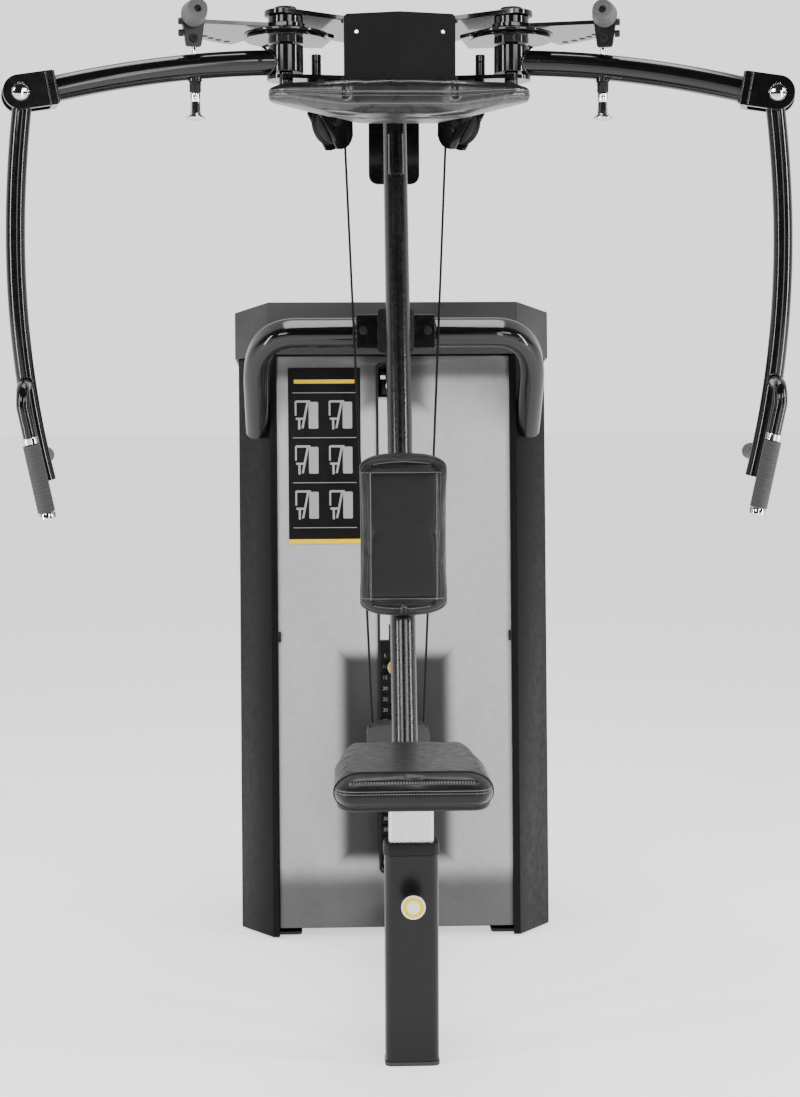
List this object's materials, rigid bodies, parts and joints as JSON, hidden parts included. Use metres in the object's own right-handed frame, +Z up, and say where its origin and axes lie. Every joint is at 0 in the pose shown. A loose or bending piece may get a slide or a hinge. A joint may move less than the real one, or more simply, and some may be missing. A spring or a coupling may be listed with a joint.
{
  "type": "pec deck machine",
  "caption": "Chest-fly and rear-delt machine: seat and leaning mast in front, overhead boom with swinging arms, and a leaning weight tower behind.",
  "frame": {"origin": "on the floor, under the middle of the machine's box", "axes": "+Z up, the user sits facing -Y, +X to the right of a viewer in front who looks along +Y"},
  "size_m": [1.5752, 1.5541, 2.026],
  "materials": {
    "black_paint": "gloss powder coat with a fine orange-peel texture",
    "charcoal_paint": "satin powder coat",
    "cap_grey": "satin, lightly grained",
    "frosted_panel": "frosted",
    "vinyl": "black grained upholstery vinyl",
    "rubber": "matte",
    "chrome": "polished",
    "stainless": "brushed",
    "black_plastic": "fine texture",
    "iron": "black oxide",
    "cable": "black coated steel cable"
  },
  "bodies": {
    "frame": {"base_rail": "black_paint", "seat_post": "black_paint", "front_foot": "rubber", "left_tower_foot": "rubber", "right_tower_foot": "rubber", "seat_collar": "black_plastic", "seat_pin_housing": "black_plastic", "back_pad": "vinyl", "mast": "black_paint", "cross_tube": "black_paint", "boom_top_plate": "black_paint", "boom_lower_frame": "black_paint", "left_pivot_shaft": "black_paint", "right_pivot_shaft": "black_paint", "front_cover": "black_paint", "header_pad": "vinyl", "lower_pulley_housing": "black_plastic", "left_tower_shell": "charcoal_paint", "right_tower_shell": "charcoal_paint", "front_panel": "frosted_panel", "rear_panel": "charcoal_paint", "tower_cap": "cap_grey", "upper_crossbar": "black_paint", "stack_shelf": "black_paint", "left_guide_rod": "chrome", "right_guide_rod": "chrome", "stack_cushion": "rubber", "resting_plates": "iron", "stack_cable": "cable", "left_cable": "cable", "right_cable": "cable", "left_pulley_guard": "black_paint", "right_pulley_guard": "black_paint"},
    "seat": {"seat_tube": "stainless", "seat_cushion": "vinyl"},
    "seat_pin": {"seat_pin_knob": "chrome"},
    "lifted_stack": {"lifted_plates": "iron"},
    "selector": {"selector_pin": "chrome"},
    "add_on": {"add_on_weight": "iron"},
    "head_wheel": {"head_pulley": "black_plastic"},
    "left_cam_unit": {"left_cam": "black_paint", "left_bumper": "rubber"},
    "left_arm_unit": {"left_arm": "black_paint", "left_pin_housing": "black_plastic", "left_clevis_pin": "chrome"},
    "left_plunger": {"left_start_pin": "chrome"},
    "left_forearm_unit": {"left_forearm": "black_paint", "left_front_grip": "rubber", "left_rear_grip": "rubber"},
    "left_wheel": {"left_top_pulley": "black_plastic"},
    "right_cam_unit": {"right_cam": "black_paint", "right_bumper": "rubber"},
    "right_arm_unit": {"right_arm": "black_paint", "right_pin_housing": "black_plastic", "right_clevis_pin": "chrome"},
    "right_plunger": {"right_start_pin": "chrome"},
    "right_forearm_unit": {"right_forearm": "black_paint", "right_front_grip": "rubber", "right_rear_grip": "rubber"},
    "right_wheel": {"right_top_pulley": "black_plastic"}
  },
  "joints": [
    {"name": "left_cam_turn", "type": "hinge", "parent": "frame", "child": "left_cam_unit", "pos_m": [-0.229, -0.155, 1.95], "axis": [0, 0, 1], "range_deg": [0, 84]},
    {"name": "left_start_adjust", "type": "hinge", "parent": "left_cam_unit", "child": "left_arm_unit", "pos_m": [-0.229, -0.155, 1.92], "axis": [0, 0, -1], "range_deg": [0, 60]},
    {"name": "left_forearm_swing", "type": "hinge", "parent": "left_arm_unit", "child": "left_forearm_unit", "pos_m": [-0.7483, -0.2749, 1.834], "axis": [-0.225, 0.9744, 0], "range_deg": [-35, 25]},
    {"name": "left_start_pin_pull", "type": "slide", "parent": "left_arm_unit", "child": "left_plunger", "axis": [0, 0, -1], "range_m": [0, 0.012], "stiffness_N_per_m": 900, "springref_m": -0.01},
    {"name": "left_wheel_turn", "type": "hinge", "parent": "frame", "child": "left_wheel", "pos_m": [-0.141, 0.06, 1.829], "axis": [0.7384, -0.6743, 0], "range_deg": [0, 152]},
    {"name": "right_cam_turn", "type": "hinge", "parent": "frame", "child": "right_cam_unit", "pos_m": [0.229, -0.155, 1.95], "axis": [0, 0, -1], "range_deg": [0, 84]},
    {"name": "right_start_adjust", "type": "hinge", "parent": "right_cam_unit", "child": "right_arm_unit", "pos_m": [0.229, -0.155, 1.92], "axis": [0, 0, 1], "range_deg": [0, 60]},
    {"name": "right_forearm_swing", "type": "hinge", "parent": "right_arm_unit", "child": "right_forearm_unit", "pos_m": [0.7483, -0.2749, 1.834], "axis": [-0.225, -0.9744, 0], "range_deg": [-35, 25]},
    {"name": "right_start_pin_pull", "type": "slide", "parent": "right_arm_unit", "child": "right_plunger", "axis": [0, 0, -1], "range_m": [0, 0.012], "stiffness_N_per_m": 900, "springref_m": -0.01},
    {"name": "right_wheel_turn", "type": "hinge", "parent": "frame", "child": "right_wheel", "pos_m": [0.141, 0.06, 1.829], "axis": [0.7384, 0.6743, 0], "range_deg": [0, 152]},
    {"name": "stack_lift", "type": "slide", "parent": "frame", "child": "lifted_stack", "axis": [0, 0.0872, 0.9962], "range_m": [0, 0.119], "deforming": ["stack_cable"]},
    {"name": "head_wheel_turn", "type": "hinge", "parent": "frame", "child": "head_wheel", "pos_m": [0, 0.5136, 1.3026], "axis": [-1, 0, 0], "range_deg": [0, 131]},
    {"name": "selector_pin_pull", "type": "slide", "parent": "lifted_stack", "child": "selector", "axis": [0, -0.9962, 0.0872], "range_m": [0, 0.075]},
    {"name": "add_on_weight_slide", "type": "slide", "parent": "frame", "child": "add_on", "axis": [0, -0.9962, 0.0872], "range_m": [0, 0.012]},
    {"name": "seat_height", "type": "slide", "parent": "frame", "child": "seat", "axis": [0, 0, 1], "range_m": [-0.06, 0.1]},
    {"name": "seat_pin_pull", "type": "slide", "parent": "frame", "child": "seat_pin", "axis": [0, -1, 0], "range_m": [0, 0.012], "stiffness_N_per_m": 900, "springref_m": -0.01}
  ],
  "couplings": [
    {"joint": "right_cam_turn", "follows": "left_cam_turn", "ratio": 1},
    {"joint": "stack_lift", "follows": "left_cam_turn", "m_per_rad": 0.08},
    {"joint": "left_wheel_turn", "follows": "left_cam_turn", "ratio": 1.7778},
    {"joint": "right_wheel_turn", "follows": "left_cam_turn", "ratio": 1.7778},
    {"joint": "head_wheel_turn", "follows": "left_cam_turn", "ratio": 1.5385}
  ]
}
